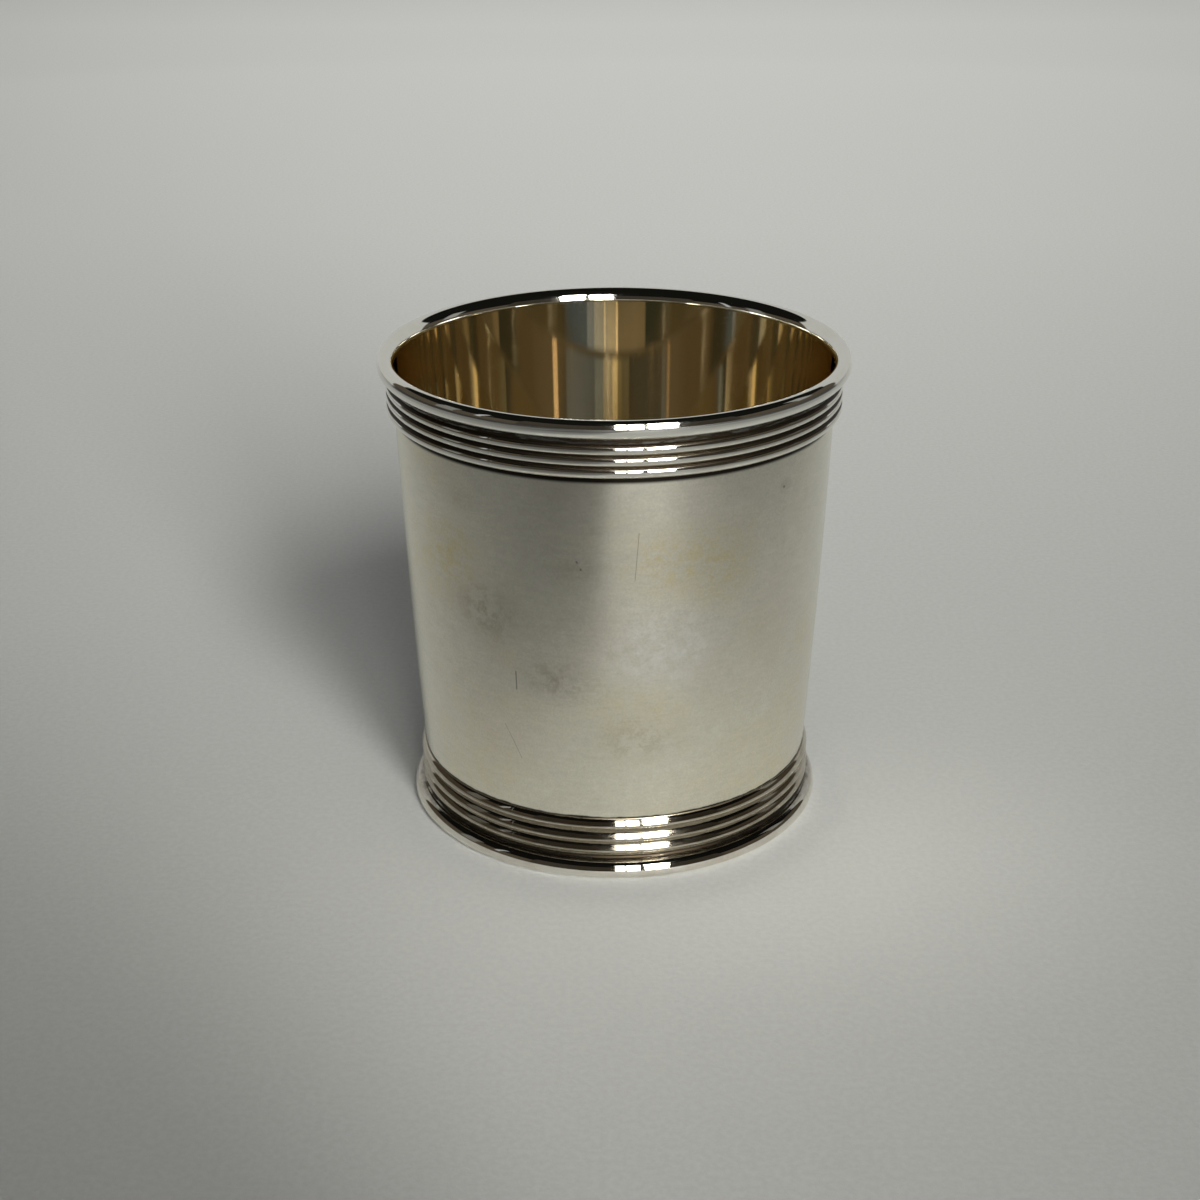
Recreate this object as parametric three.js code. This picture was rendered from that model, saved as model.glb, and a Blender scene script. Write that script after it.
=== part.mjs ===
// Silver beaker: a tapered wall with a floor let into it, a rounded lip bead, a reeded band
// under the lip, a reeded band above the foot and a spreading foot ring.
// Millimetres, +Z up, with the origin on the table at the centre of the foot.
import * as THREE from 'three';

// Wall
const cupHeight = 85.5; // table to the top of the lip
const wallTopRadius = 39.05; // outside of the wall at its top edge
const wallBottomRadius = 35.05; // outside of the wall at its lower edge
const wallSwell = 0.43; // how far the outside bows out from a straight taper at mid height
const boreSwell = 0.2; // the same for the inside, which is straighter
const wallThickness = 0.5; // at the edges of the wall

// Film of solder between neighbouring pieces
const solderGap = 0.05;

// Floor
const floorHeight = 4.1; // table to the inside of the floor
const floorThickness = 0.8;

// Lip bead
const lipHeight = 3.45; // underside of the bead to the top of the lip
const lipProud = 2.55; // outermost point of the bead beyond the wall
const lipEquator = 1.85; // outermost point above the underside of the bead
const lipCrestInset = 1.0; // top of the lip, in from the outermost point
const lipLedge = 0.7; // flat underside between the wall and the round of the bead
const lipLap = 1.15; // how far the bead reaches down over the top edge of the wall

// Reeded bands
const reedCount = 3; // reeds in each band
const reedProud = 0.55; // crown of a reed above its groove
const rimReedPitch = 1.9;
const rimBandWeb = 0.68; // metal behind the grooves of the rim band
const rimFascia = 0.82; // plain strip between the lip bead and the first rim reed
const footReedPitch = 2.15;
const footBandWeb = 0.2; // metal behind the grooves of the foot band
const footFascia = 0.9; // plain strip above the first foot reed

// Foot ring
const footProud = 3.0; // outermost point of the foot beyond the lower edge of the wall
const footBeadRadius = 1.6;
const footRingHeight = 3.8;
const footRingNeck = 0.6; // metal round the wall at the top of the ring
const footLedge = 1.5; // thickness of the ledge that the wall stands on

// Smoothness of the turned surfaces
const turnSegments = 64;
const wallSteps = 6;
const curveSteps = 5;

// Heights shared by neighbouring pieces
const wallBottom = footLedge + solderGap;
const lipUnderside = cupHeight - lipHeight;
const wallTop = lipUnderside + lipLap;
const rimBandTop = lipUnderside - solderGap;
const rimBandBottom = rimBandTop - rimFascia - reedCount * rimReedPitch;
const footBandBottom = footRingHeight + solderGap;
const footBandTop = footBandBottom + reedCount * footReedPitch + footFascia;

const satinSilver = new THREE.MeshStandardMaterial({ color: 0xbdb8a8, roughness: 0.32, metalness: 1 });
const polishedSilver = new THREE.MeshStandardMaterial({ color: 0xcac6ba, roughness: 0.12, metalness: 1 });

// Radius at a height on a taper between the edges of the wall, bowed out by a swell
function tapered(z, swell) {
  const t = (z - wallBottom) / (wallTop - wallBottom);
  const straight = wallBottomRadius + (wallTopRadius - wallBottomRadius) * t;
  return straight + 4 * swell * t * (1 - t);
}

function wallOutside(z) {
  return tapered(z, wallSwell);
}

function wallInside(z) {
  return tapered(z, boreSwell) - wallThickness;
}

// Face of a neighbour that lies against the outside of the wall
function wallSeat(z) {
  return wallOutside(z) + solderGap;
}

// Points of an elliptical arc, from one angle to another in degrees, as [radius, height]
function arc(centre, semiRadius, semiHeight, from, to, steps = curveSteps) {
  const points = [];
  for (let i = 0; i <= steps; i += 1) {
    const angle = THREE.MathUtils.degToRad(from + ((to - from) * i) / steps);
    points.push([centre[0] + semiRadius * Math.cos(angle), centre[1] + semiHeight * Math.sin(angle)]);
  }
  return points;
}

// A piece of revolution about Z, from its outline of [radius, height] points
function turned(name, outline, material) {
  const points = outline.map(([radius, height]) => new THREE.Vector2(radius, height));
  const geometry = new THREE.LatheGeometry(points, turnSegments);
  geometry.rotateX(Math.PI / 2);
  const mesh = new THREE.Mesh(geometry, material);
  mesh.name = name;
  return mesh;
}

// The same for an outline that goes right round and comes back to its first point
function turnedRing(name, outline, material) {
  return turned(name, [...outline, outline[0]], material);
}

function bodyWall() {
  const outside = [];
  const inside = [];
  for (let i = 0; i <= wallSteps; i += 1) {
    const z = wallBottom + ((wallTop - wallBottom) * i) / wallSteps;
    outside.push([wallOutside(z), z]);
    inside.unshift([wallInside(z), z]);
  }
  return turnedRing('body_wall', [...outside, ...inside], satinSilver);
}

function bottomDisc() {
  const underside = floorHeight - floorThickness;
  const outline = [
    [0, underside],
    [wallInside(underside) - solderGap, underside],
    [wallInside(floorHeight) - solderGap, floorHeight],
    [0, floorHeight],
  ];
  return turned('bottom_disc', outline, satinSilver);
}

// The bead sits on the top edge of the wall and laps over its outside. Its inside runs on from
// the inside of the wall up to the crest of the lip.
function lipBead() {
  const seat = wallTop + solderGap;
  const outermost = wallTopRadius + lipProud;
  const crest = outermost - lipCrestInset;
  const equator = lipUnderside + lipEquator;
  const underRound = wallSeat(lipUnderside) + lipLedge;
  const innerFace = wallInside(wallTop);
  const outline = [
    [innerFace, seat],
    [wallSeat(wallTop), seat],
    [wallSeat(lipUnderside), lipUnderside],
    ...arc([underRound, equator], outermost - underRound, equator - lipUnderside, -90, 0),
    ...arc([crest, equator], lipCrestInset, cupHeight - equator, 0, 90).slice(1),
    ...arc([crest, seat], crest - innerFace, cupHeight - seat, 90, 180).slice(1, -1),
  ];
  return turnedRing('lip_bead', outline, polishedSilver);
}

// A strip bent round the wall: reeds stacked from its lower edge, then the plain fascia. Each reed
// is an arc of a circle that meets its neighbours in the grooves.
function reededBand(name, bottom, top, web, pitch) {
  const groove = wallSeat(top) + web;
  const halfPitch = pitch / 2;
  const reedRadius = (reedProud ** 2 + halfPitch ** 2) / (2 * reedProud);
  const halfTurn = THREE.MathUtils.radToDeg(2 * Math.atan(reedProud / halfPitch));
  const outline = [[wallSeat(bottom), bottom]];
  for (let reed = 0; reed < reedCount; reed += 1) {
    const middle = [groove + reedProud - reedRadius, bottom + (reed + 0.5) * pitch];
    const crown = arc(middle, reedRadius, reedRadius, -halfTurn, halfTurn);
    outline.push(...(reed === 0 ? crown : crown.slice(1)));
  }
  outline.push([groove, top], [wallSeat(top), top]);
  return turnedRing(name, outline, polishedSilver);
}

// The ring stands on the table and the wall stands on its ledge
function footRing() {
  const beadMiddle = wallBottomRadius + footProud - footBeadRadius;
  const beadTop = 2 * footBeadRadius;
  const neck = wallSeat(footRingHeight) + footRingNeck;
  const bore = wallBottomRadius - wallThickness;
  const outline = [
    [bore, 0],
    ...arc([beadMiddle, footBeadRadius], footBeadRadius, footBeadRadius, -90, 90, 2 * curveSteps),
    ...arc([beadMiddle, footRingHeight], beadMiddle - neck, footRingHeight - beadTop, 270, 180).slice(1),
    [wallSeat(footRingHeight), footRingHeight],
    [wallSeat(wallBottom), footLedge],
    [bore, footLedge],
  ];
  return turnedRing('foot_ring', outline, polishedSilver);
}

const cup = new THREE.Group();
cup.add(
  bodyWall(),
  bottomDisc(),
  lipBead(),
  reededBand('rim_reeded_band', rimBandBottom, rimBandTop, rimBandWeb, rimReedPitch),
  reededBand('foot_reeded_band', footBandBottom, footBandTop, footBandWeb, footReedPitch),
  footRing(),
);

export default cup;
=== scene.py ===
"""Silver beaker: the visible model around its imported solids. Metres, +Z up, origin on the table."""
import math

import bmesh
import bpy
from mathutils import Matrix, Vector, noise


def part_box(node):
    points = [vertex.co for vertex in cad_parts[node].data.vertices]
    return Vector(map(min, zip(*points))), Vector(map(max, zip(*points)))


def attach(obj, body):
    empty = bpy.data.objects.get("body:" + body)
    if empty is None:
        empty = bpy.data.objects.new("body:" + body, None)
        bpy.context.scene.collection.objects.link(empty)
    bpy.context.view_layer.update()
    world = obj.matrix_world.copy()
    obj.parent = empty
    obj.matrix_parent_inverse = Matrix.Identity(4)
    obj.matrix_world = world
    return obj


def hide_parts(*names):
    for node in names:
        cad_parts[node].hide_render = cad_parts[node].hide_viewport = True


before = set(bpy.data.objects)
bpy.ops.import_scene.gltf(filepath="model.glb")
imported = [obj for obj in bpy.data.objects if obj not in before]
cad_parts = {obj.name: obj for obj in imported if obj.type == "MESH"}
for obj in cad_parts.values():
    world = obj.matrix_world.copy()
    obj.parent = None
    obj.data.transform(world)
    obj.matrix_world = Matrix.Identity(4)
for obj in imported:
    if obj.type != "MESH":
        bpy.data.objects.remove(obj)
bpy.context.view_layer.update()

MM = 0.001
TURN_SEGMENTS = 256
WALL_STEPS = 80
CARD_STEPS = 40
SHARP_ANGLE = math.radians(40)
SAME_HEIGHT = 0.01
SAME_CORNER = 1e-7


# Sizes in millimetres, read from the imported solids

def span(node):
    """Lowest height, highest height and outermost radius of a node."""
    low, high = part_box(node)
    return low.z / MM, high.z / MM, high.x / MM


def radii(node, height):
    """Smallest and largest radius among a node's corners at a height."""
    corners = [v.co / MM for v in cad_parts[node].data.vertices]
    ring = [math.hypot(c.x, c.y) for c in corners if abs(c.z - height) < SAME_HEIGHT]
    return min(ring), max(ring)


WALL_BOTTOM, WALL_TOP, WALL_TOP_RADIUS = span("body_wall")
WALL_BORE, WALL_BOTTOM_RADIUS = radii("body_wall", WALL_BOTTOM)
WALL_THICKNESS = WALL_BOTTOM_RADIUS - WALL_BORE
WALL_MIDDLE = (WALL_TOP_RADIUS + WALL_BOTTOM_RADIUS) / 2
MIDDLE_BORE, MIDDLE_RADIUS = radii("body_wall", (WALL_BOTTOM + WALL_TOP) / 2)
WALL_SWELL = MIDDLE_RADIUS - WALL_MIDDLE
BORE_SWELL = MIDDLE_BORE + WALL_THICKNESS - WALL_MIDDLE
FLOOR_UNDER, FLOOR_TOP, FLOOR_RADIUS = span("bottom_disc")
LIP_UNDER, LIP_TOP, LIP_RADIUS = span("lip_bead")
RIM_BAND_BOTTOM, RIM_BAND_TOP, RIM_BAND_RADIUS = span("rim_reeded_band")
FOOT_BAND_BOTTOM, FOOT_BAND_TOP, FOOT_BAND_RADIUS = span("foot_reeded_band")
FOOT_UNDER, FOOT_RING_TOP, FOOT_RADIUS = span("foot_ring")
FOOT_BORE, FOOT_FLAT = radii("foot_ring", FOOT_UNDER)
NECK_BORE, NECK_RADIUS = radii("foot_ring", FOOT_RING_TOP)
SOLDER_GAP = LIP_UNDER - RIM_BAND_TOP

# Section of the lip: the height of its outermost point, its crest in from there, and the flat under it
LIP_EQUATOR = LIP_UNDER + 1.85
LIP_CREST_INSET = 1.0
LIP_LEDGE = 0.7

# Round reeds of the rim band
REED_COUNT = 3
RIM_REED_PITCH = 1.9
REED_PROUD = 0.55

# Worn reeds of the foot band: heights and round of their noses, round of their faces, the angles in
# degrees where nose and face begin and end, and the depth of the step between two reeds
FOOT_NOSES = (0.95, 3.22, 5.82)
FOOT_NOSE_ROUND = 0.3
FOOT_FACE_ROUND = 2.4
FOOT_NOSE_START, FOOT_FACE_START, FOOT_FACE_END = -70, 10, 45
FOOT_STEP = 0.7

# Bead of the foot, and the height of its outermost point
FOOT_BEAD = FOOT_RADIUS - FOOT_FLAT
FOOT_EQUATOR = 1.0

# Butt joint of each band: where it is, its width, and its depth in the rim band and in the foot band
SEAM_ANGLE = math.radians(-30)
SEAM_WIDTH = 0.12
RIM_SEAM, FOOT_SEAM = 0.03, 0.015


def tapered(z, swell):
    """Outer radius of the wall at a height, with a swell that is greatest half way up."""
    t = (z - WALL_BOTTOM) / (WALL_TOP - WALL_BOTTOM)
    straight = WALL_BOTTOM_RADIUS + (WALL_TOP_RADIUS - WALL_BOTTOM_RADIUS) * t
    return straight + 4 * swell * t * (1 - t)


def wall_outside(z):
    return tapered(z, WALL_SWELL)


def wall_inside(z):
    return tapered(z, BORE_SWELL) - WALL_THICKNESS


def wall_seat(z):
    return wall_outside(z) + SOLDER_GAP


# Outlines are lists of (radius, height, recess). Recess is how far tarnish covers the silver: 0 on a
# crown, 1 in a groove and more where it lies thick.
CLEAN_METAL, GROOVE, FASCIA, SEAT = 0.0, 1.0, 1.15, 2.0


def arc(centre, semi_radius, semi_height, start, end, steps, recess=lambda s: CLEAN_METAL):
    """An arc of an ellipse between two angles in degrees, with its recess by the share passed."""
    points = []
    for i in range(steps + 1):
        s = i / steps
        angle = math.radians(start + (end - start) * s)
        radius = centre[0] + semi_radius * math.cos(angle)
        points.append((radius, centre[1] + semi_height * math.sin(angle), recess(s)))
    return points


def wall_outlines():
    heights = [WALL_BOTTOM + (WALL_TOP - WALL_BOTTOM) * i / WALL_STEPS for i in range(WALL_STEPS + 1)]
    outside = [(wall_outside(z), z, CLEAN_METAL) for z in heights]
    inside = [(wall_inside(z), z, CLEAN_METAL) for z in reversed(heights)]
    return outside, inside


def floor_outline():
    under = wall_inside(FLOOR_UNDER) - SOLDER_GAP
    corners = [(0.0, FLOOR_UNDER), (under, FLOOR_UNDER), (FLOOR_RADIUS, FLOOR_TOP), (0.0, FLOOR_TOP)]
    return [(radius, height, CLEAN_METAL) for radius, height in corners]


def lip_outline():
    """A bead that is tarnished below, with its inner side rounded down to the bore."""
    seat = WALL_TOP + SOLDER_GAP
    crest = LIP_RADIUS - LIP_CREST_INSET
    under_round = wall_seat(LIP_UNDER) + LIP_LEDGE
    inner = wall_inside(WALL_TOP)
    low = arc((under_round, LIP_EQUATOR), LIP_RADIUS - under_round, LIP_EQUATOR - LIP_UNDER, -90, 0, 20,
              lambda s: max(0.0, 1.9 - 3.2 * s))
    high = arc((crest, LIP_EQUATOR), LIP_CREST_INSET, LIP_TOP - LIP_EQUATOR, 0, 90, 20)
    inward = arc((crest, seat), crest - inner, LIP_TOP - seat, 90, 180, 24)
    corner = [(wall_seat(WALL_TOP), seat, CLEAN_METAL), (wall_seat(LIP_UNDER), LIP_UNDER, GROOVE)]
    return [inward[-1]] + corner + low + high[1:] + inward[1:-1]


def groove_dirt(s):
    """Recess across a rim reed, from its lower to its upper groove."""
    return max((0.16 - s) / 0.10, (s - 0.68) / 0.07, 0.0)


def rim_band_outline():
    """Reeds stacked from the lower edge, each an arc of a circle, then the plain fascia."""
    groove = RIM_BAND_RADIUS - REED_PROUD
    half = RIM_REED_PITCH / 2
    reed_radius = (REED_PROUD ** 2 + half ** 2) / (2 * REED_PROUD)
    half_turn = math.degrees(2 * math.atan(REED_PROUD / half))
    points = [(wall_seat(RIM_BAND_BOTTOM), RIM_BAND_BOTTOM, GROOVE)]
    for reed in range(REED_COUNT):
        middle = (RIM_BAND_RADIUS - reed_radius, RIM_BAND_BOTTOM + (reed + 0.5) * RIM_REED_PITCH)
        crown = arc(middle, reed_radius, reed_radius, -half_turn, half_turn, 28, groove_dirt)
        points += crown if reed == 0 else crown[1:]
    fascia = [(groove, points[-1][1] + SOLDER_GAP, FASCIA), (groove, RIM_BAND_TOP, FASCIA)]
    return points + fascia + [(wall_seat(RIM_BAND_TOP), RIM_BAND_TOP, SEAT)]


# Tarnish on the nose and on the face of each foot reed, from the lowest
FOOT_NOSE_TARNISH = (0.45, 0.35, 0.10)
FOOT_FACE_TARNISH = (0.52, 0.52, 0.32)


def foot_band_outline():
    """Reeds worn to a low nose with a long face above it, and a step in to the next."""
    lean = math.radians(FOOT_FACE_START)
    back = FOOT_FACE_ROUND - FOOT_NOSE_ROUND
    step = FOOT_BAND_RADIUS - FOOT_STEP
    points = [(wall_seat(FOOT_BAND_BOTTOM), FOOT_BAND_BOTTOM, GROOVE), (step, FOOT_BAND_BOTTOM, GROOVE)]
    for height, nose_tarnish, face_tarnish in zip(FOOT_NOSES, FOOT_NOSE_TARNISH, FOOT_FACE_TARNISH):
        nose = (FOOT_BAND_RADIUS - FOOT_NOSE_ROUND, FOOT_BAND_BOTTOM + height)
        face = (nose[0] - back * math.cos(lean), nose[1] - back * math.sin(lean))
        round_nose = arc(nose, FOOT_NOSE_ROUND, FOOT_NOSE_ROUND, FOOT_NOSE_START, FOOT_FACE_START, 14,
                         lambda s: max(nose_tarnish, (0.4 - s) / 0.3))
        points.append((step, round_nose[0][1] - FOOT_NOSE_ROUND / 2, FASCIA))
        points += round_nose
        points += arc(face, FOOT_FACE_ROUND, FOOT_FACE_ROUND, FOOT_FACE_START, FOOT_FACE_END, 24,
                      lambda s: max(face_tarnish, (s - 0.86) / 0.12))[1:]
    return points + [(step, FOOT_BAND_TOP, FASCIA), (wall_seat(FOOT_BAND_TOP), FOOT_BAND_TOP, SEAT)]


def foot_outline():
    """A bead on the table, tarnished towards its top, under a cove that rises to the band."""
    bead_top = 2 * FOOT_BEAD
    ledge = WALL_BOTTOM - SOLDER_GAP
    under = arc((FOOT_FLAT, FOOT_EQUATOR), FOOT_BEAD, FOOT_EQUATOR, -90, 0, 16)
    over = arc((FOOT_FLAT, FOOT_EQUATOR), FOOT_BEAD, bead_top - FOOT_EQUATOR, 0, 90, 28,
               lambda s: 0.8 * max(0.0, (s - 0.32) / 0.68))
    cove = arc((FOOT_FLAT, FOOT_RING_TOP), FOOT_FLAT - NECK_RADIUS, FOOT_RING_TOP - bead_top, 270, 180, 24,
               lambda s: 0.7 + 0.9 * s)
    inner = [(NECK_BORE, FOOT_RING_TOP, GROOVE), (wall_seat(WALL_BOTTOM), ledge, GROOVE),
             (FOOT_BORE, ledge, CLEAN_METAL)]
    return [(FOOT_BORE, FOOT_UNDER, CLEAN_METAL)] + under + over[1:] + cove[1:] + inner


# Turned pieces

def even(radius, angle, height):
    return 0.0


def uneven(amount, wavelength, seed):
    """Small radial unevenness in millimetres, inward only, smooth all round."""
    def depth(radius, angle, height):
        place = Vector((radius * math.sin(angle), -radius * math.cos(angle), height)) / wavelength
        return -amount * (0.5 + 0.5 * noise.noise(place + Vector((seed, 0, 0))))
    return depth


def seam(depth_of, amount):
    """Adds the shallow butt joint of a bent strip to an unevenness."""
    def depth(radius, angle, height):
        across = radius * (angle - SEAM_ANGLE) / SEAM_WIDTH
        return depth_of(radius, angle, height) - amount * math.exp(-across * across)
    return depth


def turn_angles(extra):
    angles = [2 * math.pi * i / TURN_SEGMENTS - math.pi for i in range(TURN_SEGMENTS)]
    return sorted(set(angles) | set(extra))


def turned(name, node, outline, materials, depth, extra=(), split=None):
    """A piece of revolution that stands for a CAD node. Past the split it has the second material."""
    angles = turn_angles(extra)
    count = len(outline)
    corners = []
    recesses = []
    for angle in angles:
        for radius, height, recess in outline:
            r = radius + depth(radius, angle, height) if radius > 0 else 0.0
            corners.append((r * math.sin(angle) * MM, -r * math.cos(angle) * MM, height * MM))
            recesses.append(recess)
    faces = []
    zones = []
    for i in range(len(angles)):
        here = i * count
        there = ((i + 1) % len(angles)) * count
        for j in range(count):
            k = (j + 1) % count
            faces.append((here + j, there + j, there + k, here + k))
            zones.append(1 if split is not None and j >= split else 0)
    mesh = bpy.data.meshes.new(name)
    mesh.from_pydata(corners, [], faces)
    layer = mesh.attributes.new("recess", "FLOAT", "POINT")
    layer.data.foreach_set("value", recesses)
    mesh.polygons.foreach_set("material_index", zones)
    for material in materials:
        mesh.materials.append(material)
    tidy = bmesh.new()
    tidy.from_mesh(mesh)
    bmesh.ops.remove_doubles(tidy, verts=tidy.verts, dist=SAME_CORNER)
    bmesh.ops.recalc_face_normals(tidy, faces=tidy.faces)
    tidy.to_mesh(mesh)
    tidy.free()
    mesh.shade_smooth()
    mesh.set_sharp_from_angle(angle=SHARP_ANGLE)
    piece = bpy.data.objects.new(name, mesh)
    bpy.context.scene.collection.objects.link(piece)
    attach(piece, "root")
    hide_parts(node)
    return piece


# Materials

class Graph:
    """Builds one node material."""

    def __init__(self, name):
        self.material = bpy.data.materials.new(name)
        self.material.use_nodes = True
        self.tree = self.material.node_tree
        self.shader = self.tree.nodes["Principled BSDF"]

    def node(self, kind, **settings):
        made = self.tree.nodes.new(kind)
        for key, value in settings.items():
            setattr(made, key, value)
        return made

    def feed(self, socket, value):
        """Links a socket to a node's output, or sets it to a constant."""
        if isinstance(value, bpy.types.NodeSocket):
            self.tree.links.new(value, socket)
        else:
            socket.default_value = value

    def shade(self, name, value):
        self.feed(self.shader.inputs[name], value)

    def math(self, operation, a, b=0.0, c=0.0, clamp=False):
        made = self.node("ShaderNodeMath", operation=operation, use_clamp=clamp)
        for socket, value in zip(made.inputs, (a, b, c)):
            self.feed(socket, value)
        return made.outputs[0]

    def times(self, a, b):
        return self.math("MULTIPLY", a, b)

    def line(self, value, slope, start):
        """The slope times the value, plus the start."""
        return self.math("MULTIPLY_ADD", value, slope, start)

    def between(self, share, a, b):
        """The number a where the share is 0, and b where it is 1."""
        return self.line(self.math("SUBTRACT", b, a), share, a)

    def vector(self, operation, a, b):
        made = self.node("ShaderNodeVectorMath", operation=operation)
        self.feed(made.inputs[0], a)
        self.feed(made.inputs["Scale"] if operation == "SCALE" else made.inputs[1], b)
        gives_number = operation in ("LENGTH", "DOT_PRODUCT", "DISTANCE")
        return made.outputs["Value" if gives_number else "Vector"]

    def stretched(self, place, *shares):
        return self.vector("MULTIPLY", place, Vector(shares))

    def parts(self, place):
        made = self.node("ShaderNodeSeparateXYZ")
        self.feed(made.inputs[0], place)
        return made.outputs

    def place(self):
        """Position on the object in millimetres."""
        coords = self.node("ShaderNodeTexCoord").outputs["Object"]
        return self.vector("SCALE", coords, 1 / MM)

    def noise(self, place, scale, detail, rough):
        made = self.node("ShaderNodeTexNoise")
        self.feed(made.inputs["Vector"], place)
        made.inputs["Scale"].default_value = scale
        made.inputs["Detail"].default_value = detail
        made.inputs["Roughness"].default_value = rough
        return made.outputs["Fac"]

    def ramp(self, value, low, high, to_low=0.0, to_high=1.0):
        """A smooth step between two values, held level beyond them."""
        made = self.node("ShaderNodeMapRange", interpolation_type="SMOOTHSTEP")
        for key, number in zip(("Value", "From Min", "From Max", "To Min", "To Max"),
                               (value, low, high, to_low, to_high)):
            self.feed(made.inputs[key], number)
        return made.outputs[0]

    def mix(self, factor, a, b, blend="MIX"):
        made = self.node("ShaderNodeMix", data_type="RGBA", blend_type=blend)
        self.feed(made.inputs["Factor"], factor)
        self.feed(made.inputs[6], a)
        self.feed(made.inputs[7], b)
        return made.outputs[2]

    def bump(self, height, strength, distance):
        made = self.node("ShaderNodeBump")
        made.inputs["Strength"].default_value = strength
        made.inputs["Distance"].default_value = distance
        self.feed(made.inputs["Height"], height)
        self.shade("Normal", made.outputs[0])

    def unrolled(self, place, radius):
        """Arc length from the front, to the right, and height, as a flat vector."""
        x, y, z = self.parts(place)
        angle = self.math("ARCTAN2", x, self.times(y, -1.0))
        made = self.node("ShaderNodeCombineXYZ")
        self.feed(made.inputs[0], self.times(angle, radius))
        self.feed(made.inputs[1], z)
        return made.outputs[0]

    def scratch(self, flat, start, end, width):
        """1 along a line on the unrolled surface, fading to 0 at half its width."""
        start = Vector((*start, 0.0))
        along = Vector((*end, 0.0)) - start
        offset = self.vector("SUBTRACT", flat, start)
        passed = self.vector("DOT_PRODUCT", offset, along)
        share = self.math("DIVIDE", passed, along.length_squared, clamp=True)
        away = self.vector("DISTANCE", offset, self.vector("SCALE", along, share))
        return self.ramp(away, width / 2, 0.0)

    def spot(self, flat, centre, size):
        """1 in the middle of an oval on a flat surface, fading to 0 at its edge."""
        offset = self.vector("SUBTRACT", flat, Vector((*centre, 0.0)))
        away = self.vector("LENGTH", self.vector("DIVIDE", offset, Vector((*size, 1.0))), Vector())
        return self.ramp(away, 1.0, 0.0)


def rgb(red, green, blue):
    return (red, green, blue, 1.0)


CLEAN = rgb(0.79, 0.765, 0.655)
YELLOWED = rgb(0.72, 0.635, 0.39)
PINKED = rgb(0.745, 0.665, 0.57)
DULLED = rgb(0.49, 0.465, 0.375)
PAINTED_SHEEN = rgb(0.83, 0.825, 0.785)
SMUDGED = rgb(0.52, 0.46, 0.40)
SCRATCHED = rgb(0.22, 0.21, 0.18)
BLACK_TARNISH_AND_SHADE = rgb(0.03, 0.025, 0.018)

# Places on the wall are arc length right of the front, and height, in millimetres
MARK_RADIUS = 37.0

# Scratches and pits: start, end and width
SCRATCHES = [
    ((3.9, 65.6), (3.3, 57.0), 0.15),
    ((-17.2, 38.4), (-17.2, 35.0), 0.42),
    ((-20.0, 27.6), (-18.6, 25.0), 0.13),
    ((-18.6, 25.0), (-16.9, 21.4), 0.15),
    ((30.4, 69.2), (30.5, 69.1), 0.7),
    ((-6.0, 60.4), (-5.9, 60.2), 0.5),
    ((-5.4, 59.1), (-5.3, 58.9), 0.5),
]

# Stains, and one painted sheen: tone, middle, half size and strength
STAINS_AND_SHEEN = [
    (YELLOWED, (-30.0, 57.0), (11.0, 10.0), 0.9),
    (PINKED, (-27.0, 50.0), (8.0, 6.0), 0.7),
    (DULLED, (-22.5, 48.5), (10.0, 8.0), 0.9),
    (YELLOWED, (10.0, 60.0), (13.0, 10.0), 0.9),
    (YELLOWED, (18.0, 58.0), (10.0, 11.0), 0.8),
    # Painted sheen: a lighter patch where the lamp's streak falls on the wall
    (PAINTED_SHEEN, (8.4, 44.0), (14.0, 11.0), 0.9),
    (DULLED, (-10.0, 37.8), (10.0, 6.5), 0.9),
    (DULLED, (4.4, 26.5), (13.0, 7.0), 0.55),
    (PINKED, (-20.0, 25.0), (14.0, 9.0), 0.6),
    (PINKED, (29.0, 43.0), (9.0, 14.0), 0.5),
    (DULLED, (-6.0, 58.5), (9.0, 5.0), 0.5),
    (SMUDGED, (30.8, 69.2), (2.2, 1.6), 0.9),
    (SMUDGED, (-27.0, 68.0), (6.0, 3.0), 0.4),
]


def tarnish(g, place, flat, mottle):
    """Blotchy yellow and pink clouds all over the wall, the stains, and a painted sheen."""
    cloud = g.noise(place, 0.05, 3.0, 0.55)
    blotch = g.ramp(mottle, 0.40, 0.62, 0.15, 1.0)
    colour = g.mix(g.times(g.ramp(cloud, 0.45, 0.7, 0.0, 0.5), blotch), CLEAN, YELLOWED)
    colour = g.mix(g.times(g.ramp(cloud, 0.45, 0.25, 0.0, 0.4), blotch), colour, PINKED)
    for tone, middle, size, strength in STAINS_AND_SHEEN:
        stain_and_sheen = g.times(g.spot(flat, middle, size), blotch)
        colour = g.mix(g.times(stain_and_sheen, strength), colour, tone)
    return colour


def rubbing(g, place, flat, mottle):
    """Tone close to 1: marks of rubbing round the cup, a fine grain and the mottle."""
    rubbed = g.noise(g.stretched(flat, 0.25, 1.3, 1.0), 1.0, 4.0, 0.65)
    grain = g.noise(place, 2.6, 2.0, 0.6)
    tone = g.times(g.ramp(rubbed, 0.3, 0.7, 0.97, 1.03), g.ramp(grain, 0.3, 0.7, 0.95, 1.05))
    return g.times(tone, g.ramp(mottle, 0.3, 0.7, 0.955, 1.035))


def scratches(g, flat):
    lines = g.scratch(flat, *SCRATCHES[0])
    for mark in SCRATCHES[1:]:
        lines = g.math("MAXIMUM", lines, g.scratch(flat, *mark))
    return lines


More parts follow.
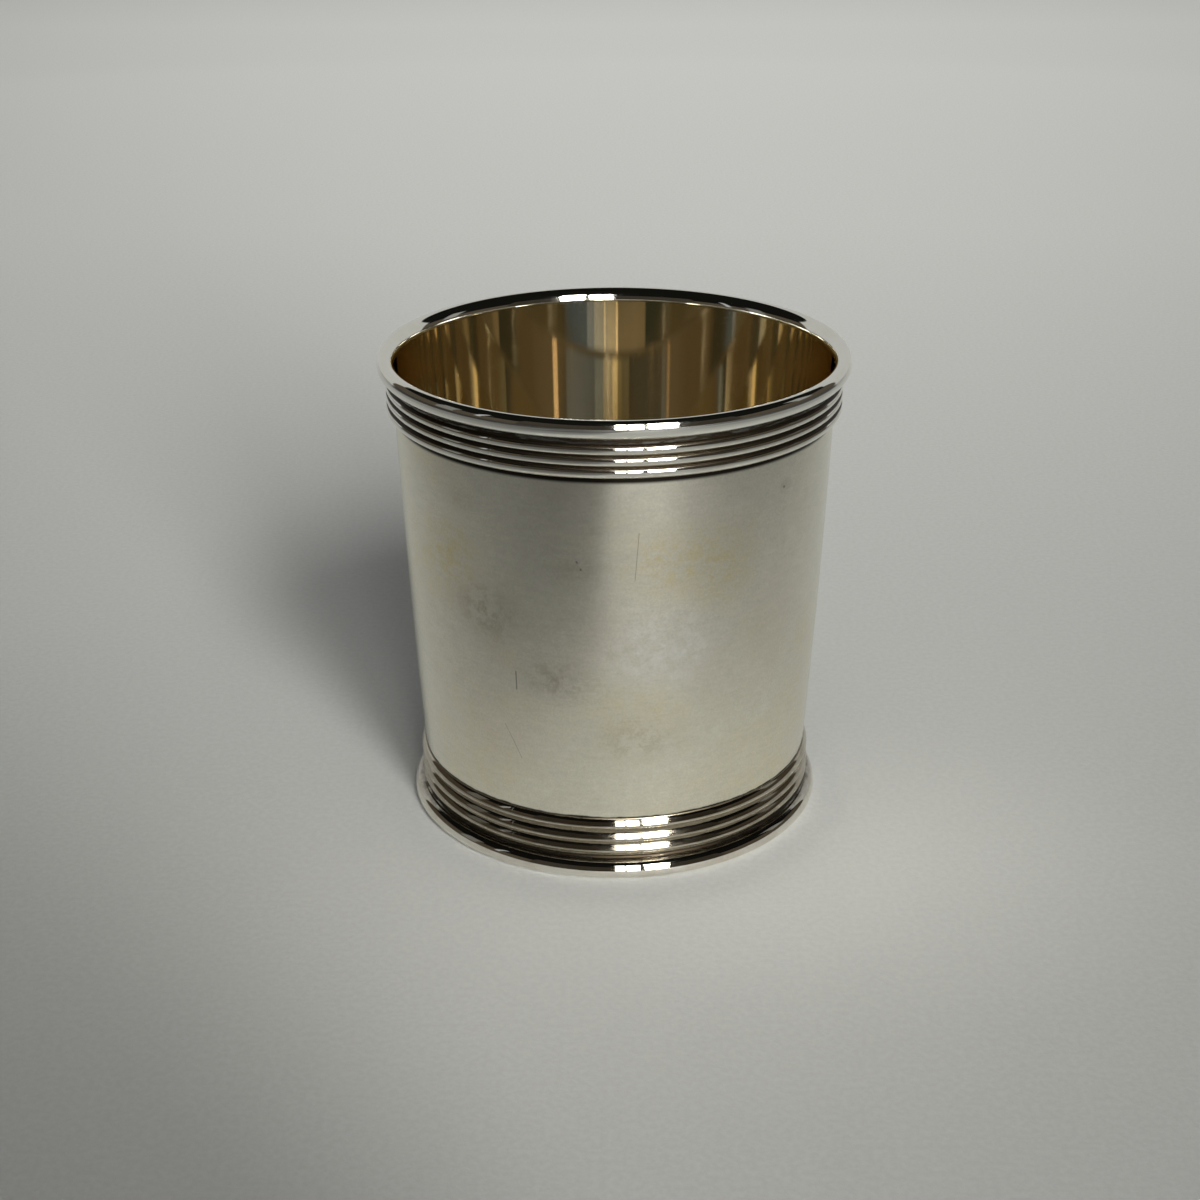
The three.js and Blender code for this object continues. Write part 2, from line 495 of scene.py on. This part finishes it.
def joint_tarnish_and_shade(g, place, colour):
    """Black in the corners that the wall makes with the two bands: a ragged tarnish line above the foot
    band, and painted shade under the rim band.
    """
    height = g.parts(place)[2]
    ragged = g.ramp(g.noise(place, 0.3, 3.0, 0.6), 0.3, 0.7, 0.10, 0.30)
    above_foot = g.math("SUBTRACT", g.math("SUBTRACT", height, FOOT_BAND_TOP), ragged)
    colour = g.mix(g.ramp(above_foot, 0.2, -0.15), colour, BLACK_TARNISH_AND_SHADE)
    # Painted shade: black under the rim band, fading down the wall
    below_rim = g.math("SUBTRACT", RIM_BAND_BOTTOM, height)
    return g.mix(g.ramp(below_rim, 1.5, 0.85), colour, BLACK_TARNISH_AND_SHADE)


def satin_silver():
    """Satin silver with faint yellow, pink and grey tarnish and a painted sheen, rubbed round the cup, and
    a few marks.
    """
    g = Graph("satin_silver")
    place = g.place()
    flat = g.unrolled(place, MARK_RADIUS)
    mottle = g.noise(place, 0.45, 6.0, 0.72)
    colour = tarnish(g, place, flat, mottle)
    colour = g.mix(1.0, colour, rubbing(g, place, flat, mottle), "MULTIPLY")
    lines = scratches(g, flat)
    colour = g.mix(g.times(lines, 0.85), colour, SCRATCHED)
    g.shade("Base Color", joint_tarnish_and_shade(g, place, colour))
    g.shade("Metallic", 1.0)
    g.shade("Roughness", g.ramp(mottle, 0.3, 0.7, 0.205, 0.22))
    g.shade("Tangent", g.node("ShaderNodeTangent", direction_type="RADIAL", axis="Z").outputs[0])
    g.shade("Anisotropic", 0.30)
    g.shade("Anisotropic Rotation", 0.25)
    g.bump(g.times(lines, -2.5), 0.02, 0.0002)
    return g.material


def polished_silver(name, clean, filmed, grime, wear):
    """Polished silver with a brown film in patches and dark tarnish in the grooves. Wear is the
    range of its roughness where it is clean."""
    g = Graph(name)
    place = g.place()
    recess = g.node("ShaderNodeAttribute", attribute_name="recess").outputs["Fac"]
    patch = g.noise(place, 0.12, 3.0, 0.6)
    speckle = g.noise(place, 1.6, 4.0, 0.6)
    film = g.times(g.ramp(patch, 0.35, 0.65), g.ramp(speckle, 0.3, 0.7, 0.5, 1.0))
    colour = g.mix(film, clean, filmed)
    streak = g.noise(g.stretched(place, 0.25, 0.25, 2.5), 1.0, 3.0, 0.6)
    dirt = g.times(recess, g.ramp(streak, 0.35, 0.65, 0.75, 1.25))
    colour = g.mix(g.math("MULTIPLY", dirt, 0.9, clamp=True), colour, grime)
    g.shade("Base Color", colour)
    g.shade("Metallic", 1.0)
    rough = g.math("ADD", g.ramp(speckle, 0.35, 0.65, *wear), g.times(g.times(dirt, dirt), 0.22))
    g.shade("Roughness", g.math("MINIMUM", rough, 0.45))
    return g.material


def bright_inside():
    """Bright spun silver, warm where it mirrors itself."""
    g = Graph("bright_inside")
    place = g.place()
    streak = g.noise(g.stretched(place, 0.35, 0.35, 0.03), 1.0, 3.0, 0.6)
    spun = g.noise(g.stretched(place, 0.05, 0.05, 3.0), 1.0, 3.0, 0.6)
    colour = g.mix(g.ramp(streak, 0.3, 0.7), rgb(0.928, 0.893, 0.812), rgb(0.912, 0.873, 0.782))
    g.shade("Base Color", colour)
    g.shade("Metallic", 1.0)
    g.shade("Roughness", g.ramp(spun, 0.3, 0.75, 0.015, 0.035))
    return g.material


GROOVE_GRIME = rgb(0.04, 0.031, 0.02)
FOOT_GRIME = rgb(0.20, 0.172, 0.12)
LIP_GRIME = rgb(0.12, 0.10, 0.075)
REED_WEAR = (0.02, 0.045)
LIP_WEAR = (0.045, 0.065)

satin = satin_silver()
moulded = polished_silver("polished_silver", rgb(0.885, 0.875, 0.81), rgb(0.80, 0.77, 0.68),
                          GROOVE_GRIME, REED_WEAR)
foot_reed_silver = polished_silver("foot_reed_silver", rgb(0.70, 0.655, 0.55), rgb(0.56, 0.50, 0.40),
                                   FOOT_GRIME, REED_WEAR)
foot_silver = polished_silver("foot_silver", rgb(0.83, 0.81, 0.74), rgb(0.72, 0.67, 0.58),
                              GROOVE_GRIME, REED_WEAR)
lip_silver = polished_silver("lip_silver", rgb(0.90, 0.895, 0.84), rgb(0.86, 0.85, 0.78),
                             LIP_GRIME, LIP_WEAR)
inside = bright_inside()

wall_out, wall_in = wall_outlines()
# Closer turns across the joint of each band
seam_angles = [SEAM_ANGLE + math.radians(0.1) * i for i in range(-6, 7)]
pieces = [
    turned("cup_wall", "body_wall", wall_out + wall_in, [satin, inside], uneven(0.004, 26.0, 3.0),
           split=len(wall_out)),
    turned("cup_floor", "bottom_disc", floor_outline(), [satin, inside], even, split=1),
    turned("lip", "lip_bead", lip_outline(), [lip_silver], uneven(0.015, 14.0, 7.0)),
    turned("rim_reeds", "rim_reeded_band", rim_band_outline(), [moulded],
           seam(uneven(0.02, 11.0, 11.0), RIM_SEAM), seam_angles),
    turned("foot_reeds", "foot_reeded_band", foot_band_outline(), [foot_reed_silver],
           seam(uneven(0.02, 11.0, 17.0), FOOT_SEAM), seam_angles),
    turned("foot", "foot_ring", foot_outline(), [foot_silver], uneven(0.015, 14.0, 23.0)),
]


# Paper floor

PAPER_HALF = 3.0
PAPER_TINT = (0.985, 1.0, 0.97)

# A soft shadow behind the cup to the left, and the light that it throws to the front right: middle,
# half size and gain
PAPER_SPOTS = [
    ((-0.055, 0.10), (0.055, 0.09), -0.16),
    ((0.035, -0.03), (0.085, 0.06), 0.15),
]


def painted_paper_falloff(g, across, back):
    """Painted light falloff: palest at the back, darker towards the front and to both sides."""
    near = g.line(back, 0.62, 0.386)
    far = g.line(back, 0.43, 0.472)
    tone = g.math("MAXIMUM", g.math("MINIMUM", near, far), 0.275)
    tone = g.math("MINIMUM", tone, 0.92)
    aside = g.math("DIVIDE", across, g.math("MAXIMUM", g.math("ADD", back, 0.47), 0.3))
    fall = g.line(g.times(aside, aside), -2.0, 1.0)
    return g.times(tone, g.math("MAXIMUM", fall, 0.55))


def paper_shade(g, across, back, to_metal):
    """Share of the tone that is lost in a shade over the front left. To the metal the shade is deeper,
    and its edge is sharper and runs another way."""
    nearer = g.math("SUBTRACT", -0.15, back)
    eye_edge = g.line(nearer, 0.54, -0.0112)
    metal_edge = g.math("MINIMUM", g.line(nearer, 0.94, 0.0154), -0.0145)
    metal_edge = g.math("MAXIMUM", g.line(nearer, 0.335, -0.033), metal_edge)
    edge = g.between(to_metal, eye_edge, metal_edge)
    blur = g.line(to_metal, -0.009, g.line(nearer, -0.14, 0.026))
    inside_edge = g.math("DIVIDE", g.math("SUBTRACT", edge, across), g.math("MAXIMUM", blur, 0.006))
    eye_depth = g.ramp(back, 0.12, -0.15, 0.0, 0.40)
    far_depth = g.ramp(back, 0.10, -0.14, 0.0, 0.50)
    metal_depth = g.math("ADD", far_depth, g.ramp(back, -0.12, -0.25, 0.0, 0.40))
    metal_depth = g.times(metal_depth, g.ramp(across, -0.10, -0.165, 1.0, 0.4))
    return g.times(g.ramp(inside_edge, -1.0, 1.0), g.between(to_metal, eye_depth, metal_depth))


def past_table(g, place, back):
    """1 past the edge of a round table, except behind the cup."""
    reach = g.vector("LENGTH", place, Vector())
    not_behind = g.ramp(g.math("DIVIDE", back, reach), 0.60, 0.52)
    return g.times(g.ramp(reach, 0.42, 0.44), not_behind)


def paper():
    """Pale grained paper with painted light falloff, a painted shade over the front left, and a painted
    shadow and pool of light by the cup. Farther in front it is pale to the eye, and to the metal it is
    dark as past the edge of a table."""
    g = Graph("paper")
    place = g.node("ShaderNodeTexCoord").outputs["Object"]
    across, back = g.parts(place)[:2]
    path = g.node("ShaderNodeLightPath")
    to_metal = path.outputs["Is Glossy Ray"]
    # Painted light falloff, less a painted shade over the front left that is deeper and sharper to the
    # metal
    shade = paper_shade(g, across, back, to_metal)
    tone = g.times(painted_paper_falloff(g, across, back), g.math("SUBTRACT", 1.0, shade))
    # Painted shadow behind the cup to the left, and painted pool of light to its front right
    for middle, size, gain in PAPER_SPOTS:
        tone = g.times(tone, g.line(g.spot(place, middle, size), gain, 1.0))
    pale = g.times(path.outputs["Is Camera Ray"], g.ramp(back, -0.125, -0.22, 0.0, 0.30))
    tone = g.math("MAXIMUM", tone, pale)
    dark = g.times(past_table(g, place, back), to_metal)
    tone = g.times(tone, g.line(dark, -0.9, 1.0))
    grain = g.noise(place, 900.0, 4.0, 0.6)
    tone = g.times(tone, g.ramp(grain, 0.3, 0.7, 0.96, 1.04))
    colour = g.node("ShaderNodeCombineXYZ")
    for socket, share in zip(colour.inputs, PAPER_TINT):
        g.feed(socket, g.times(tone, share))
    g.shade("Base Color", colour.outputs[0])
    g.shade("Roughness", 0.85)
    g.bump(grain, 0.15, 0.0004)
    return g.material


def on_stage(name, corners, faces, material):
    """An object of the stage, which isn't part of the cup."""
    mesh = bpy.data.meshes.new(name)
    mesh.from_pydata(corners, [], faces)
    mesh.materials.append(material)
    sheet = bpy.data.objects.new(name, mesh)
    bpy.context.scene.collection.objects.link(sheet)
    return sheet


def floor():
    ends = (-PAPER_HALF, PAPER_HALF)
    corners = [(x, y, 0.0) for y in ends for x in ends]
    on_stage("paper_floor", corners, [(0, 1, 3, 2)], paper())


# Cards that only the metal sees, like those round a product table

def round_the_cup(azimuth, radius, height):
    """A point by its bearing in degrees, where 0 is the front and 90 the right."""
    angle = math.radians(azimuth)
    return (radius * math.sin(angle), -radius * math.cos(angle), height)


def glowing(name, glow, after):
    """A glowing card, which shows only after more reflections than a count."""
    g = Graph(name)
    g.shade("Base Color", rgb(0.01, 0.01, 0.01))
    g.shade("Roughness", 1.0)
    g.shade("Emission Color", rgb(*glow))
    g.shade("Emission Strength", 1.0)
    if after > 0:
        reflections = g.node("ShaderNodeLightPath").outputs["Glossy Depth"]
        g.shade("Alpha", g.math("GREATER_THAN", reflections, after + 0.5))
    return g.material


def card(name, bearings, radius, heights, glow, crown=0.0, after=0):
    """A curved card between two bearings. Its top corners are cut down by the crown's share. It shows
    only after more reflections than a count, which above 0 is almost only inside the cup."""
    corners = []
    for i in range(CARD_STEPS + 1):
        s = 2 * i / CARD_STEPS - 1
        azimuth = bearings[0] + (bearings[1] - bearings[0]) * i / CARD_STEPS
        top = heights[0] + (heights[1] - heights[0]) * (1 - crown * abs(s) ** 3)
        corners += [round_the_cup(azimuth, radius, heights[0]), round_the_cup(azimuth, radius, top)]
    faces = [(2 * i, 2 * i + 2, 2 * i + 3, 2 * i + 1) for i in range(CARD_STEPS)]
    sheet = on_stage(name, corners, faces, glowing(name, glow, after))
    sheet.visible_camera = False
    sheet.visible_diffuse = False
    sheet.visible_shadow = False


floor()
card("paper_behind", (124, 236), 0.9, (0.0, 0.76), (0.44, 0.44, 0.42), crown=0.35)
card("room_left", (-126, -45), 2.7, (0.0, 1.07), (0.058, 0.045, 0.029))
card("room_front", (-45, 60), 2.9, (0.0, 1.9), (0.030, 0.024, 0.016))
card("room_right", (60, 126), 2.7, (0.0, 1.07), (0.058, 0.045, 0.029))
card("window_left", (-67, -64), 1.7, (0.36, 1.2), (0.42, 0.43, 0.45))
card("cabinet_left", (-90, -79), 1.7, (0.15, 0.95), (0.16, 0.16, 0.15))
card("window_right", (95, 106), 1.7, (0.45, 1.15), (0.25, 0.25, 0.24))

# What the inside shows after many reflections, in rows of elevations from the lip
DEEP_REFLECTIONS = 4
DEEP_RADIUS = 0.85
LAYER_GAP = 0.01
LOW, PALE, DIM, WARM = (8.0, 13.25), (13.25, 14.15), (14.15, 15.6), (15.6, 18.75)
MIDDLE, HIGH, CEILING = (18.75, 20.05), (20.05, 25.0), (25.0, 85.0)
ALL_ROUND = (-180, 180)

# Layer, bearings, elevations and glow. A higher layer stands in front.
INSIDE_VIEW = [
    (0, ALL_ROUND, LOW, (0.085, 0.070, 0.040)),
    (0, ALL_ROUND, PALE, (0.030, 0.036, 0.028)),
    (0, ALL_ROUND, DIM, (0.042, 0.040, 0.026)),
    (0, ALL_ROUND, WARM, (0.11, 0.088, 0.055)),
    (0, ALL_ROUND, MIDDLE, (0.045, 0.045, 0.038)),
    (0, ALL_ROUND, HIGH, (0.11, 0.085, 0.045)),
    (0, ALL_ROUND, CEILING, (0.095, 0.08, 0.052)),
    (1, (168, 202), PALE, (0.58, 0.54, 0.46)),
    (1, (-158, -118), PALE, (0.42, 0.45, 0.50)),
    (1, (-118, -95), PALE, (0.22, 0.27, 0.38)),
    (1, (-95, -25), PALE, (0.070, 0.105, 0.165)),
    (1, (82, 168), PALE, (0.21, 0.175, 0.12)),
    (2, (-153, -149), PALE, (1.1, 0.95, 0.70)),
    (2, (169, 174), PALE, (1.4, 1.15, 0.80)),
    (1, (-147, -130), (18.0, 18.75), (1.0, 0.78, 0.56)),
    (1, (151, 161), (18.3, 18.75), (0.40, 0.28, 0.16)),
    (1, (72, 180), MIDDLE, (0.12, 0.15, 0.21)),
    (1, (40, 72), (19.55, 20.05), (0.25, 0.32, 0.42)),
    (1, (6, 40), MIDDLE, (0.48, 0.47, 0.44)),
    (1, (-13, 6), MIDDLE, (1.0, 0.90, 0.66)),
    (1, (-28, -13), MIDDLE, (0.27, 0.25, 0.17)),
    (1, (-56, -28), MIDDLE, (0.16, 0.155, 0.12)),
]

for layer, bearings, elevations, glow in INSIDE_VIEW:
    radius = DEEP_RADIUS - LAYER_GAP * layer
    edges = [LIP_TOP * MM + radius * math.tan(math.radians(elevation)) for elevation in elevations]
    card("inside_view", bearings, radius, edges, glow, after=DEEP_REFLECTIONS)

# Pale ceiling, which lights the inside when it is seen from above
card("ceiling", ALL_ROUND, 1.0, (1.1, 9.0), (0.42, 0.41, 0.38), after=1)


# Light

# Bearings and radiance of the panes, and rows of elevations in which they fan out with height, so that
# the gaps between them stand upright in the round of a reed
PANES = [((0.6, 5.5), 7.5), ((6.6, 13.2), 12.0), ((16.0, 28.6), 27.0)]
PANE_ROWS = [((2.0, 22.0), 1.0), ((22.0, 36.0), 1.06), ((36.0, 48.0), 1.15)]
PANE_DISTANCE = 2.5
PANE_COLOUR = (1.0, 0.985, 0.95)


def pane(bearings, elevations, radiance):
    """An upright lamp like a window pane, by the bearings and elevations that it fills, in degrees."""
    middle = sum(bearings) / 2
    low, high = (PANE_DISTANCE * math.tan(math.radians(elevation)) for elevation in elevations)
    place = Vector(round_the_cup(middle, PANE_DISTANCE, (low + high) / 2))
    light = bpy.data.lights.new("pane", "AREA")
    light.shape = "RECTANGLE"
    light.size = 2 * PANE_DISTANCE * math.tan(math.radians((bearings[1] - bearings[0]) / 2))
    light.size_y = high - low
    light.energy = radiance * math.pi * light.size * light.size_y
    light.color = PANE_COLOUR
    source = bpy.data.objects.new("pane", light)
    towards = Vector(round_the_cup(middle, 1.0, 0.0))
    turn = towards.to_track_quat("Z", "Y").to_matrix().to_4x4()
    source.matrix_world = Matrix.Translation(place) @ turn
    bpy.context.scene.collection.objects.link(source)


for elevations, spread in PANE_ROWS:
    for bearings, radiance in PANES:
        pane([spread * bearing for bearing in bearings], elevations, radiance)

ROOM_TO_PAPER = rgb(0.248, 0.25, 0.248)
ROOM_TO_METAL = rgb(0.006, 0.006, 0.005)
ROOM_TO_EYE = rgb(0.5, 0.5, 0.48)


def room():
    """Dark to the metal, a soft grey fill to the paper and pale behind the scene."""
    world = bpy.data.worlds.new("room")
    bpy.context.scene.world = world
    world.use_nodes = True
    tree = world.node_tree
    path = tree.nodes.new("ShaderNodeLightPath")
    to_metal = tree.nodes.new("ShaderNodeMix")
    to_metal.data_type = "RGBA"
    to_metal.inputs[6].default_value = ROOM_TO_PAPER
    to_metal.inputs[7].default_value = ROOM_TO_METAL
    tree.links.new(path.outputs["Is Glossy Ray"], to_metal.inputs["Factor"])
    to_eye = tree.nodes.new("ShaderNodeMix")
    to_eye.data_type = "RGBA"
    to_eye.inputs[7].default_value = ROOM_TO_EYE
    tree.links.new(path.outputs["Is Camera Ray"], to_eye.inputs["Factor"])
    tree.links.new(to_metal.outputs[2], to_eye.inputs[6])
    tree.links.new(to_eye.outputs[2], tree.nodes["Background"].inputs["Color"])


room()


# Camera at the photograph's place, with its angles in radians

CAMERA_PLACE = Vector((0.0, -339.2, 185.85)) * MM
CAMERA_YAW, CAMERA_PITCH, CAMERA_ROLL = -0.0078, 0.4135, 0.004
FOCAL_PIXELS, FRAME_PIXELS = 2000.7, 1200

forward = Vector((math.sin(CAMERA_YAW) * math.cos(CAMERA_PITCH),
                  math.cos(CAMERA_YAW) * math.cos(CAMERA_PITCH), -math.sin(CAMERA_PITCH)))
level = Vector((math.cos(CAMERA_YAW), -math.sin(CAMERA_YAW), 0.0))
down = forward.cross(level)
right = math.cos(CAMERA_ROLL) * level + math.sin(CAMERA_ROLL) * down
below = -math.sin(CAMERA_ROLL) * level + math.cos(CAMERA_ROLL) * down
lens = bpy.data.cameras.new("camera")
lens.sensor_fit = "HORIZONTAL"
lens.sensor_width = 36.0
lens.lens = lens.sensor_width * FOCAL_PIXELS / FRAME_PIXELS
lens.clip_start = 0.01
camera = bpy.data.objects.new("camera", lens)
turn = Matrix((right, -below, -forward)).transposed().to_4x4()
camera.matrix_world = Matrix.Translation(CAMERA_PLACE) @ turn
bpy.context.scene.collection.objects.link(camera)
bpy.context.scene.camera = camera

bpy.context.scene.view_settings.view_transform = "Standard"
# The inside of the cup mirrors itself many times before it shows the room
bpy.context.scene.cycles.max_bounces = 40
bpy.context.scene.cycles.glossy_bounces = 36
bpy.context.scene.cycles.blur_glossy = 0.1
